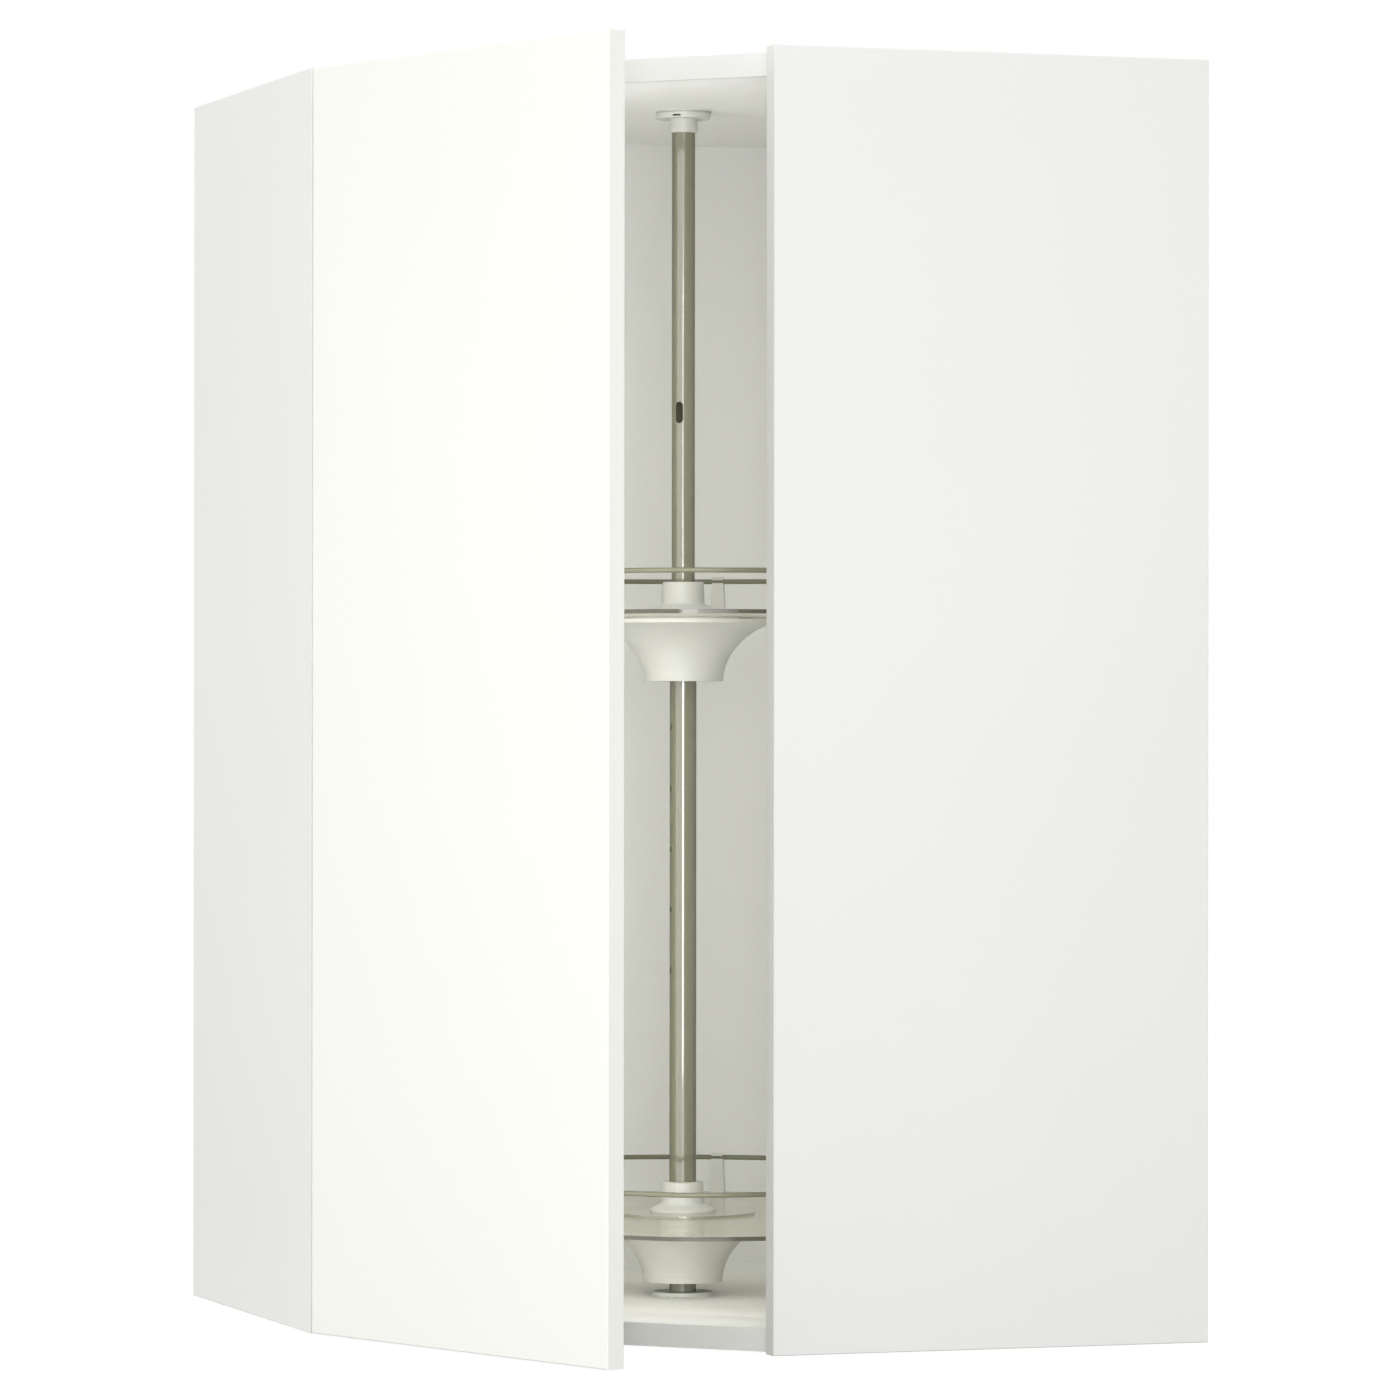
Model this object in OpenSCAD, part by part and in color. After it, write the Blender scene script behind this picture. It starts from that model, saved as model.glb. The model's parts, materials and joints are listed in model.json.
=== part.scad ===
// Diagonal corner wall cabinet with a carousel of two turning shelves on one pole.
// Frame: the two room walls are the planes x = 0 and y = 0, the underside is z = 0.
// The door side looks along (+x, -y). All sizes are in millimetres.

/* [Cabinet] */
// Length of the cabinet along each wall
cab_w = 656; // [640:1:700]
// Height of the side panels
cab_h = 1016; // [900:1:1100]
// Depth of each side panel, from its wall to its front edge
side_depth = 366; // [360:1:376]
// Thickness of the side, top and bottom boards
board_t = 18; // [16:1:20]
// How far the top board lies below the upper ends of the sides
top_drop = 4; // [0:1:10]
// How far the bottom board lies above the lower ends of the sides
bottom_rise = 1; // [0:1:6]
// Set-back of the boards' front edges behind the inner corners of the sides
board_setback = 7; // [3:1:12]
// Rounding of the boards' banded edges
edge_r = 0.8; // [0.4:0.1:1.5]

/* [Back] */
// Free space between the back panels and the walls
wall_gap = 17; // [12:1:22]
// Thickness of the back panels
back_t = 3; // [3:0.5:6]
// Depth of the grooves that hold the back panels
groove_depth = 6; // [4:1:9]

/* [Door] */
// Free space between the door's ends and the inner corners of the sides, seen from the front
door_end_gap = 3.3; // [1:0.1:8]
// How much shorter the door is than the sides, in all
door_short = 3; // [2:1:8]
// Thickness of the door
door_t = 16; // [16:0.5:20]
// Rounding of the door's edges
door_edge_r = 1; // [0.5:0.1:2]
// Distance from the inner front corners of the sides to the back face of the closed door
door_gap = 3.7; // [3.5:0.1:5]
// How far the door's hinge end lies beyond its middle place, along the left front edge
door_offset = 4; // [0:0.5:4.5]
// How far the door stands open at rest, in degrees
ajar = 24.7; // [0:0.1:60]

/* [Hinges] */
// Which pair of system holes, counted from each end, carries a hinge
hinge_row = 1; // [1:1:3]
// Radius of the hinge pin
hinge_pin_r = 1.75; // [1.5:0.05:2]
// Radius of the hinge knuckles
knuckle_r = 3.2; // [3:0.1:3.6]
// Distance of the hinge pin from the left side's inner face
pin_inset = 12; // [11:0.5:13]
// Radius of the hinge cup
cup_r = 17.5; // [17.5:0.5:18]
// Depth of the hinge cup in the door
cup_depth = 11.5; // [10:0.5:12]
// Distance from the door's end to the centre of the cup
cup_inset = 22.5; // [21:0.5:26]
// Height of the hinge's knuckles, in all
hinge_h = 24; // [20:1:30]
// Thickness of the hinge's sheet steel
hinge_sheet = 1.6; // [1.2:0.1:2]
// Distance of the hinge plate's screws from the side's front edge
plate_inset = 37; // [35:1:42]

/* [System holes] */
// Distance between holes in a column
hole_pitch = 32; // [30:1:32]
// Radius of the system holes
hole_r = 2.5; // [1.5:0.5:3]
// Depth of the system holes
hole_depth = 12; // [10:1:14]

/* [Pole] */
// Place of the pole along both walls
pole_at = 326; // [322:1:330]
// Outer radius of the lower tube
lower_tube_r = 11; // [10.5:0.1:11.5]
// Outer radius of the upper tube
upper_tube_r = 9.5; // [9:0.1:9.6]
// Wall of both tubes
tube_wall = 1.3; // [1:0.1:1.4]
// Height of the lowest adjusting hole above the cabinet's underside
first_hole_z = 286; // [270:1:300]
// Distance between the adjusting holes
adjust_pitch = 50; // [45:1:50]
// Radius of the adjusting holes
adjust_hole_r = 2.5; // [2:0.1:3]
// Height of the slot in the upper tube, at its centre
slot_z = 745.5; // [700:1:780]
// Length of the slot in the upper tube
slot_h = 17.6; // [12:0.5:22]
// Width of the slot in the upper tube
slot_w = 6.3; // [4:0.1:7]
// Radius of the base plate
base_r = 25; // [24:1:30]
// Thickness of the base plate
base_t = 3; // [2.5:0.5:4]
// Radius of the flange under the top board
top_flange_r = 22.6; // [21:0.2:26]
// Thickness of the flange under the top board
top_flange_t = 5.5; // [5:0.5:8]
// Radius of the collar under that flange
top_collar_r = 11.5; // [11.2:0.1:13]
// Length of the collar under that flange
top_collar_h = 11.3; // [8:0.5:16]

/* [Carousel] */
// Height of the face on which the lower hub's flange lies
low_shelf_z = 87.8; // [86:0.2:110]
// Radius of the shelves
shelf_r = 250; // [240:1:250]
// Distance from the pole to the shelves' straight edge
shelf_flat = 229; // [222:1:230]
// Radius of the corners between arc and straight edge
shelf_corner_r = 44; // [40:1:50]
// Thickness of the shelves
shelf_t = 3.4; // [3:0.1:4]
// Radius of the raised middle of the shelves
boss_r = 60; // [50:1:70]
// How far the shelves' middle is raised
boss_h = 1.7; // [1:0.1:2.5]
// Distance from the shelves' edge to the centre line of the rail
rail_inset = 24; // [18:1:26]
// Height of the rail's centre line above the shelf's raised middle
rail_h = 29.5; // [28:0.5:34]
// Radius of the rail wire
rail_r = 2; // [1.5:0.1:2.5]
// Number of clips that hold each rail
clip_count = 8; // [6:1:10]
// Angle between neighbouring clips
clip_step = 36.5; // [32:0.5:38]

/* [Hub] */
// Height of the hub collar above the shelf
collar_h = 24.5; // [22:0.5:30]
// Radius of the hub collar at its top
collar_top_r = 17; // [16.5:0.1:18]
// Radius of the hub collar at its foot
collar_foot_r = 17.7; // [17:0.1:18.5]
// Radius of the hub's flange
hub_flange_r = 27; // [25:0.2:32]
// Thickness of the hub's flange at its rim
hub_flange_t = 2.1; // [1.5:0.1:3]
// Height at which the flange's slope meets the collar
hub_slope_h = 6.2; // [5:0.1:8]
// Depth of the bell's mouth under the hub's flange
bell_depth = 57.2; // [55:0.2:60]
// Radius of the bell's mouth, outside
bell_mouth_r = 33; // [32:0.5:36]
// Radius of the bell's rim under the shelf
bell_rim_r = 80; // [77:0.5:90]
// Thickness of the bell's rim
bell_rim_t = 3.2; // [2.5:0.1:4]
// Free space between the bell's rim and the shelf
bell_rim_gap = 1.5; // [1:0.1:2]
// Radius that the bell's flare tends to
bell_flare_r = 104; // [100:0.5:106]
// Height of the bell's flare, as a quarter of an ellipse
bell_flare_h = 53; // [51:0.5:55]
// Wall of the bell
bell_wall = 2.2; // [1.8:0.1:3]
// Number of ribs in the bell
rib_count = 6; // [4:1:8]

/* [Fits] */
// Radial clearance where a hub turns on the pole
run_clear = 0.1; // [0.05:0.01:0.1]
// Axial gap where a turning face lies on its seat
seat_gap = 0.3; // [0.2:0.05:0.5]
// Radial clearance of a hinge knuckle on its pin
pin_clear = 0.05; // [0.02:0.01:0.1]

/* [Hidden] */

root2 = sqrt(2);
eps = 0.01;
cut = 1;

// Carcass
side_in = cab_w - board_t;
bottom_z = bottom_rise;
floor_z = bottom_rise + board_t;
ceiling_z = cab_h - top_drop - board_t;
back_face = wall_gap + back_t;
board_front = side_in + side_depth - board_setback * root2;
back_end_gap = 4;

// Joints between boards and sides, measured from the wall
dowel_r = 4;
dowel_half = 14;
cam_bolt_r = 3;
cam_bolt_l = 34;
cam_nut_r = 7.5;
cam_nut_h = 12.5;
cam_at = 24;
cam_rows = [70, side_depth - 66];
dowel_rows = [102, side_depth - 98];

// System hole columns, measured from the wall
col_front = side_depth - plate_inset;
col_back = back_face + 37;
col_count = 2 * floor((cab_h / 2 - 60) / hole_pitch);
col_first = cab_h / 2 - (col_count - 1) / 2 * hole_pitch;

// Door, closed: its back face is the plane x - y = door_back
door_w = (side_in - side_depth) * root2 - 2 * door_end_gap;
door_back = side_in + side_depth + door_gap * root2 + door_offset;
door_h = cab_h - door_short;
door_z = door_short / 2;
hinge_z = col_first + (hinge_row - 0.5) * hole_pitch;
hinge_zs = [hinge_z, cab_h - hinge_z];
pin_x = side_depth + knuckle_r + 0.2;
pin_y = -(side_in + pin_inset);
door_left_x = (door_back - door_offset - door_w / root2) / 2;
door_left_y = -(door_back - door_left_x);
knuckle_h = hinge_h / 3;
knuckle_gap = 0.15;
leaf_len = 43;
cup_flange_t = 1.2;
cup_wall = 1.4;
cup_screw_z = 24;
cup_screw_u = cup_inset + 5.5;
plate_screw_r = 2.2;
plate_screw_l = 11;
plate_t = 1.8;
plate_w = 18;
plate_end = 8;
plate_block_w = 14;
plate_block_h = 8;
arm_w = 16;
stop_r = 5;
stop_gap = 0.3;
stop_inset = 40;

// Pole
pin_drop = 45.5;
shelf_zs = [low_shelf_z, first_hole_z + 5 * adjust_pitch + pin_drop];
support_pin_r = adjust_hole_r - 0.1;
support_pin_l = 31;
ring_t = 3.8;
ring_r = 16;
lower_tube_top = shelf_zs[1] + collar_h - 1;
telescope_overlap = 120;
upper_tube_bottom = lower_tube_top - telescope_overlap;
telescope_hole_z = shelf_zs[1] + 4.7;
base_spigot_h = 12;
base_screw_at = 18;
base_screw_r = 1.9;
base_screw_head_r = 3.6;
base_screw_l = 14;
top_plate_t = 1;
top_boss_r = 7.9;
top_boss_h = 24;
top_screw_at = 17;
top_gap = 4;
cap_step = 1.2;
cap_step_h = 0.9;
cap_chamfer = 0.8;
top_slot_w = 6.6;
top_slot_h = 1.6;

// Hub, measured from the shelf's top face
hub_bore = lower_tube_r + run_clear;
sleeve_r = hub_bore + 2.6;
skirt_out = 16.8;
skirt_in = 14.4;
skirt_depth = 14;
hub_hole_r = 17.2;
lip_t = 4;
seat_drop = pin_drop - support_pin_r - ring_t - seat_gap;
bell_plate_t = 2.5;
plate_top = -boss_h;
rim_top = -boss_h - shelf_t - bell_rim_gap;
bell_points = 14;
rib_t = 1.8;
rail_out_r = shelf_r - rail_inset;
rail_flat = shelf_flat - rail_inset;
rail_corner_r = shelf_corner_r - rail_inset;
boss_wall = 3.4;
seat_boss_r = boss_r - boss_wall - 1;

// Rail clips and their screws
clip_foot_w = 12.6;
clip_top_w = 9.2;
clip_d = 9;
clip_top = rail_h + boss_h + rail_r + 1.6;
clip_screw_r = 1.6;
clip_screw_l = 12;
clip_head_r = 3.6;
clip_head_t = 2;
peg_r = 2.4;
bead_r = rail_r + 0.15;
bead_l = 2;
bead_gap = 0.3;

// Hangers
hanger_z = ceiling_z - 66;
hanger_h = 58;
hanger_d = 44;
hanger_t = 14;
hook_t = 2.5;
hook_h = 26;
hook_at = 9;
hook_drop = 4;
hanger_screw_r = 2;
hanger_screw_y = -back_face - 22;
hanger_screw_in = 11;
hanger_screw_zs = [hanger_z + 10, hanger_z + hanger_h - 10];

white = "#f2f2ec";
raw_board = "#d9cdb8";
steel = "#c4c6c8";
dark_steel = "#8d8f92";
pole_grey = "#a9a99a";
hub_white = "#e4e4dc";
glass_tint = [0.80, 0.80, 0.66, 0.45];

// ---- helpers ----

// Rectangle with rounded corners, its lower left corner at the origin
module round_rect(w, h, r) {
    translate([r, 0]) square([w - 2 * r, h]);
    translate([0, r]) square([w, h - 2 * r]);
    for (x = [r, w - r]) {
        for (y = [r, h - r]) {
            translate([x, y]) circle(r = r, $fn = 24);
        }
    }
}

// Upright board along +x with its vertical and its long horizontal edges rounded
module eased_board(w, t, h, r) {
    intersection() {
        linear_extrude(h) round_rect(w, t, r);
        translate([w, 0, 0]) rotate([0, -90, 0]) linear_extrude(w) round_rect(h, t, r);
    }
}

// Repeats a right-hand shape at the left-hand side of the cabinet's diagonal
module mirrored() {
    mirror([1, 1, 0]) children();
}

// Hole or pin along x, of radius r and length l
module along_x(x, y, z, r, l) {
    translate([x, y, z]) rotate([0, 90, 0]) cylinder(r = r, h = l, $fn = 24);
}

// Tube standing on z = 0
module tube(r_out, r_in, h) {
    difference() {
        cylinder(r = r_out, h = h, $fn = 64);
        translate([0, 0, -cut]) cylinder(r = r_in, h = h + 2 * cut, $fn = 64);
    }
}

// ---- carcass ----

module side_panel() {
    difference() {
        translate([cab_w, -side_depth, 0]) rotate([0, 0, 90]) eased_board(side_depth, board_t, cab_h, edge_r);
        // groove for the back panel
        translate([side_in - cut, -back_face, -cut]) cube([groove_depth + cut, back_t, cab_h + 2 * cut]);
        // system holes
        for (i = [0 : col_count - 1]) {
            for (y = [-col_front, -col_back]) {
                along_x(side_in - cut, y, col_first + i * hole_pitch, hole_r, hole_depth + cut);
            }
        }
        // holes for the hanger's screws
        for (z = hanger_screw_zs) {
            along_x(side_in - cut, hanger_screw_y, z, hanger_screw_r, hanger_screw_in + cut);
        }
        joint_holes();
    }
}

// Cam bolts and dowels, at the heights of both boards
module joint_holes() {
    for (z = [bottom_z + board_t / 2, ceiling_z + board_t / 2]) {
        for (y = cam_rows) {
            along_x(side_in - cam_bolt_l / 2, -y, z, cam_bolt_r, cam_bolt_l / 2 + 11);
        }
        for (y = dowel_rows) {
            along_x(side_in - dowel_half, -y, z, dowel_r, 2 * dowel_half - 3);
        }
    }
}

module side_right() {
    color(white) side_panel();
}

module side_left() {
    color(white) mirrored() side_panel();
}

// Outline of the top and bottom boards: a square with its front corner cut off
module board_outline() {
    polygon([[back_face, -back_face], [side_in, -back_face], [side_in, side_in - board_front],
        [board_front - side_in, -side_in], [back_face, -side_in]]);
}

module board(z, nut_z) {
    difference() {
        translate([0, 0, z]) linear_extrude(board_t) board_outline();
        board_joint_cuts(z, nut_z);
        mirrored() board_joint_cuts(z, nut_z);
    }
}

module board_joint_cuts(z, nut_z) {
    for (y = cam_rows) {
        along_x(side_in - cam_bolt_l, -y, z + board_t / 2, cam_bolt_r, cam_bolt_l + cut);
        translate([side_in - cam_at, -y, nut_z]) cylinder(r = cam_nut_r, h = cam_nut_h + cut, $fn = 32);
    }
    for (y = dowel_rows) {
        along_x(side_in - dowel_half, -y, z + board_t / 2, dowel_r, dowel_half + cut);
    }
}

module top_board() {
    color(white) difference() {
        board(ceiling_z, ceiling_z + board_t - cam_nut_h);
        translate([pole_at, -pole_at, 0]) {
            for (a = [30 : 120 : 270]) {
                rotate([0, 0, a]) translate([top_screw_at, 0, ceiling_z - cut])
                    cylinder(r = base_screw_r, h = 11 + cut, $fn = 24);
            }
        }
    }
}

module bottom_board() {
    color(white) difference() {
        board(bottom_z, bottom_z - cut);
        translate([pole_at, -pole_at, 0]) {
            for (a = [30 : 120 : 270]) {
                rotate([0, 0, a]) translate([base_screw_at, 0, floor_z - base_screw_l])
                    cylinder(r = base_screw_r, h = base_screw_l + cut, $fn = 24);
            }
        }
    }
}

module back_panel_right() {
    color(white) difference() {
        translate([0, -back_face, back_end_gap])
            cube([side_in + groove_depth - 0.5, back_t, cab_h - 2 * back_end_gap]);
        hook_slot();
    }
}

module back_panel_left() {
    panel_end = side_in + groove_depth - 0.5;
    color(white) difference() {
        translate([wall_gap, -panel_end, back_end_gap])
            cube([back_t, panel_end - back_face, cab_h - 2 * back_end_gap]);
        mirrored() hook_slot();
    }
}

// Batten in the room corner, behind the place where the back panels meet
module corner_batten() {
    color(raw_board) translate([0, -wall_gap, 0]) cube([wall_gap, wall_gap, cab_h]);
}

module dowel_set() {
    for (z = [bottom_z + board_t / 2, ceiling_z + board_t / 2]) {
        for (y = dowel_rows) {
            along_x(side_in - dowel_half + 0.5, -y, z, dowel_r, 2 * dowel_half - 4);
        }
    }
}

module board_dowels() {
    color(raw_board) {
        dowel_set();
        mirrored() dowel_set();
    }
}

module cam_bolt_set() {
    for (z = [bottom_z + board_t / 2, ceiling_z + board_t / 2]) {
        for (y = cam_rows) {
            along_x(side_in - cam_at + cam_nut_r, -y, z, cam_bolt_r, cam_at - cam_nut_r + 11);
        }
    }
}

module cam_bolts() {
    color(steel) {
        cam_bolt_set();
        mirrored() cam_bolt_set();
    }
}

// Cam nut with its cross recess
module cam_nut() {
    difference() {
        cylinder(r = cam_nut_r, h = cam_nut_h - 0.5, $fn = 32);
        for (a = [0, 90]) {
            rotate([0, 0, a]) translate([-4, -0.6, -cut]) cube([8, 1.2, cut + 2]);
        }
    }
}

module cam_nut_set() {
    for (y = cam_rows) {
        translate([side_in - cam_at, -y, bottom_z]) cam_nut();
        translate([side_in - cam_at, -y, ceiling_z + board_t]) mirror([0, 0, 1]) cam_nut();
    }
}

module cam_nuts() {
    color(dark_steel) {
        cam_nut_set();
        mirrored() cam_nut_set();
    }
}

// ---- hangers: a case on the side's inner face, with a hook that reaches the wall rail ----

module hanger() {
    difference() {
        translate([side_in - hanger_t, -back_face - hanger_d, hanger_z])
            cube([hanger_t, hanger_d, hanger_h]);
        // open front, for the adjusting screws
        translate([side_in - hanger_t + 2, -back_face - hanger_d - cut, hanger_z + 5])
            cube([hanger_t - 4, 14 + cut, hanger_h - 10]);
        for (z = hanger_screw_zs) {
            along_x(side_in - hanger_t - cut, hanger_screw_y, z, hanger_screw_r, hanger_t + 2 * cut);
        }
    }
    // hook that passes through the back panel and drops behind it
    translate([side_in - hook_at, -back_face - eps, hanger_z + 16]) cube([hook_t, back_face - 4, hook_h]);
    translate([side_in - hook_at, -8, hanger_z + 16 - hook_drop]) cube([hook_t, 4, hook_h]);
    // two screws in the open front that set the hook's height and depth
    for (z = [16, hanger_h - 16]) {
        translate([side_in - hanger_t / 2, -back_face - hanger_d + 6, hanger_z + z])
            rotate([-90, 0, 0]) cylinder(r = 3.5, h = 9, $fn = 32);
    }
}

module hook_slot() {
    translate([side_in - hook_at - 1, -back_face - cut, hanger_z + 16 - hook_drop - 1])
        cube([hook_t + 2, back_t + 2 * cut, hook_h + hook_drop + 2]);
}

module hanger_right() {
    color(hub_white) hanger();
}

module hanger_left() {
    color(hub_white) mirrored() hanger();
}

module hanger_screw_set() {
    for (z = hanger_screw_zs) {
        along_x(side_in - hanger_t, hanger_screw_y, z, hanger_screw_r, hanger_t + hanger_screw_in - 0.5);
        along_x(side_in - hanger_t - 2, hanger_screw_y, z, hanger_screw_r + 1.8, 2);
    }
}

module hanger_screws() {
    color(steel) {
        hanger_screw_set();
        mirrored() hanger_screw_set();
    }
}

// ---- door and hinges ----

// Frame of the closed door: x from its hinge end, y inwards from its back face, z up
module door_frame() {
    translate([pin_x, pin_y, 0]) rotate([0, 0, -ajar]) translate([-pin_x, -pin_y, 0])
        translate([door_left_x, door_left_y, 0]) rotate([0, 0, 45]) children();
}

module door_panel() {
    color(white) door_frame() difference() {
        translate([0, -door_t, door_z]) eased_board(door_w, door_t, door_h, door_edge_r);
        for (z = hinge_zs) {
            translate([cup_inset, cut, z]) rotate([90, 0, 0])
                cylinder(r = cup_r, h = cup_depth + 0.3 + cut, $fn = 64);
            for (s = [-cup_screw_z, cup_screw_z]) {
                translate([cup_screw_u, cut, z + s]) rotate([90, 0, 0])
                    cylinder(r = 1.9, h = 10 + cut, $fn = 24);
            }
        }
    }
}

// Outline of the cup's flange: a round plate with two ears
module cup_flange_outline() {
    difference() {
        union() {
            circle(r = cup_r + 2, $fn = 64);
            translate([-8, -cup_screw_z - 6]) round_rect(19, 2 * cup_screw_z + 12, 5);
        }
        circle(r = cup_r - cup_wall, $fn = 64);
        for (s = [-cup_screw_z, cup_screw_z]) {
            translate([cup_screw_u - cup_inset, s]) circle(r = 2, $fn = 24);
        }
    }
}

module hinge_cup() {
    // steel cup pressed into the door, its flange on the door's back
    translate([cup_inset, 0, 0]) rotate([90, 0, 0]) {
        translate([0, 0, -cup_flange_t]) linear_extrude(cup_flange_t) cup_flange_outline();
        difference() {
            translate([0, 0, -cup_flange_t / 2]) cylinder(r = cup_r, h = cup_depth + cup_flange_t / 2, $fn = 64);
            translate([0, 0, -cut]) cylinder(r = cup_r - cup_wall, h = cup_depth - 1 + cut, $fn = 64);
        }
    }
    // strap across the cup, from the knuckle
    translate([-2, 0.3, -knuckle_h / 2 + knuckle_gap])
        cube([leaf_len, hinge_sheet, knuckle_h - 2 * knuckle_gap]);
}

// Knuckle of the door's leaf, in the cabinet's own axes with the door closed
module door_knuckle() {
    h = knuckle_h - 2 * knuckle_gap;
    difference() {
        union() {
            translate([pin_x, pin_y, -h / 2]) cylinder(r = knuckle_r, h = h, $fn = 48);
            // strap from the knuckle to the leaf at the door's back corner
            translate([pin_x - 1, pin_y, -h / 2])
                cube([hinge_sheet, door_left_y - pin_y + 1.5, h]);
        }
        translate([pin_x, pin_y, -h]) cylinder(r = hinge_pin_r + pin_clear, h = 2 * h, $fn = 48);
    }
}

module hinge_cups() {
    color(steel) for (z = hinge_zs) {
        translate([0, 0, z]) {
            door_frame() hinge_cup();
            translate([pin_x, pin_y, 0]) rotate([0, 0, -ajar]) translate([-pin_x, -pin_y, 0]) door_knuckle();
        }
    }
}

module hinge_cup_screws() {
    color(steel) door_frame() for (z = hinge_zs) {
        for (s = [-cup_screw_z, cup_screw_z]) {
            translate([cup_screw_u, 0, z + s]) rotate([90, 0, 0]) {
                cylinder(r = 1.9, h = 9.5, $fn = 24);
                translate([0, 0, -cup_flange_t - 1.8]) cylinder(r1 = 3, r2 = 3.6, h = 1.8, $fn = 32);
                translate([0, 0, -cup_flange_t]) cylinder(r = 1.9, h = cup_flange_t, $fn = 24);
            }
        }
    }
}

// Mounting plate on the left side's inner face
module hinge_plate() {
    screw_x = side_depth - plate_inset;
    difference() {
        union() {
            translate([screw_x - plate_w / 2, -side_in, -hole_pitch / 2 - plate_end])
                cube([plate_w, plate_t, hole_pitch + 2 * plate_end]);
            translate([screw_x - plate_block_w / 2, -side_in, -arm_w / 2])
                cube([plate_block_w, plate_block_h, arm_w]);
        }
        for (s = [-hole_pitch / 2, hole_pitch / 2]) {
            translate([side_depth - plate_inset, -side_in - cut, s]) rotate([-90, 0, 0])
                cylinder(r = plate_screw_r, h = plate_t + 2 * cut, $fn = 24);
        }
    }
}

module hinge_plates() {
    color(steel) for (z = hinge_zs) translate([0, 0, z]) hinge_plate();
}

module hinge_plate_screws() {
    color(steel) for (z = hinge_zs) {
        for (s = [-hole_pitch / 2, hole_pitch / 2]) {
            translate([side_depth - plate_inset, -side_in + plate_t, z + s]) rotate([90, 0, 0]) {
                cylinder(r = plate_screw_r, h = plate_screw_l, $fn = 24);
                translate([0, 0, -2]) cylinder(r1 = 3.2, r2 = 4, h = 2, $fn = 32);
            }
        }
    }
}

// Arm from the mounting plate, bent round the side's front edge to the knuckles
module arm_outline() {
    y_top = -side_in + plate_block_h;
    polygon([[side_depth - plate_inset - 20, y_top], [side_depth - 15, y_top],
        [side_depth - 5, -side_in], [side_depth, -side_in], [side_depth, pin_y],
        [side_depth + hinge_sheet, pin_y], [side_depth + hinge_sheet, -side_in + hinge_sheet],
        [side_depth - 4.2, -side_in + hinge_sheet], [side_depth - 14.2, y_top + hinge_sheet],
        [side_depth - plate_inset - 20, y_top + hinge_sheet]]);
}

module hinge_arm() {
    difference() {
        union() {
            translate([0, 0, -arm_w / 2]) linear_extrude(arm_w) arm_outline();
            for (s = [-1, 1]) {
                translate([pin_x, pin_y, s * knuckle_h - knuckle_h / 2]) cylinder(r = knuckle_r, h = knuckle_h, $fn = 48);
                translate([side_depth, pin_y, s * knuckle_h - knuckle_h / 2])
                    cube([hinge_sheet, -side_in - pin_y + hinge_sheet, knuckle_h]);
            }
        }
        // room for the door's knuckle
        translate([side_depth - 1, pin_y - 10, -knuckle_h / 2]) cube([20, 30, knuckle_h]);
        translate([pin_x, pin_y, -hinge_h]) cylinder(r = hinge_pin_r, h = 2 * hinge_h, $fn = 48);
    }
}

module hinge_arms() {
    color(steel) for (z = hinge_zs) translate([0, 0, z]) hinge_arm();
}

module hinge_pins() {
    color(dark_steel) for (z = hinge_zs) {
        translate([pin_x, pin_y, z - hinge_h / 2 - 0.6]) {
            cylinder(r = hinge_pin_r, h = hinge_h + 1.2, $fn = 48);
        }
    }
}

// Rubber stops on the door's back, near its free end; they meet the boards' front edges
module door_stops() {
    stop_l = (door_back - board_front) / root2 - stop_gap;
    color("#9a9a96") door_frame() for (z = [bottom_z + board_t / 2, ceiling_z + board_t / 2]) {
        translate([door_w - stop_inset, 0, z]) rotate([-90, 0, 0])
            cylinder(r1 = stop_r, r2 = stop_r - 1.2, h = stop_l, $fn = 32);
    }
}

// ---- pole ----

module on_pole() {
    translate([pole_at, -pole_at, 0]) children();
}

// Cross hole through the pole, along y
module cross_hole(z, r) {
    translate([0, lower_tube_r + cut, z]) rotate([90, 0, 0]) cylinder(r = r, h = 2 * (lower_tube_r + cut), $fn = 32);
}

module pole_base() {
    color(hub_white) on_pole() difference() {
        union() {
            translate([0, 0, floor_z]) cylinder(r1 = base_r, r2 = base_r - 0.6, h = base_t, $fn = 64);
            translate([0, 0, floor_z]) cylinder(r = lower_tube_r - tube_wall - 0.05, h = base_t + base_spigot_h, $fn = 64);
        }
        for (a = [30 : 120 : 270]) {
            rotate([0, 0, a]) translate([base_screw_at, 0, floor_z - cut]) {
                cylinder(r = base_screw_r, h = base_t + 2 * cut, $fn = 24);
                translate([0, 0, cut + base_t - 1.8]) cylinder(r1 = base_screw_r, r2 = base_screw_head_r, h = 1.8 + eps, $fn = 32);
            }
        }
    }
}

module pole_base_screws() {
    color(steel) on_pole() for (a = [30 : 120 : 270]) {
        rotate([0, 0, a]) translate([base_screw_at, 0, floor_z]) {
            translate([0, 0, -base_screw_l]) cylinder(r = base_screw_r, h = base_screw_l + base_t - 1.8, $fn = 24);
            translate([0, 0, base_t - 1.8]) cylinder(r1 = base_screw_r, r2 = base_screw_head_r - 0.1, h = 1.7, $fn = 32);
        }
    }
}

module pole_lower_tube() {
    color(pole_grey) on_pole() difference() {
        translate([0, 0, floor_z + base_t])
            tube(lower_tube_r, lower_tube_r - tube_wall, lower_tube_top - floor_z - base_t);
        for (i = [0 : 5]) {
            cross_hole(first_hole_z + i * adjust_pitch, adjust_hole_r);
        }
        cross_hole(low_shelf_z - pin_drop, adjust_hole_r);
        cross_hole(telescope_hole_z, adjust_hole_r);
    }
}

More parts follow.
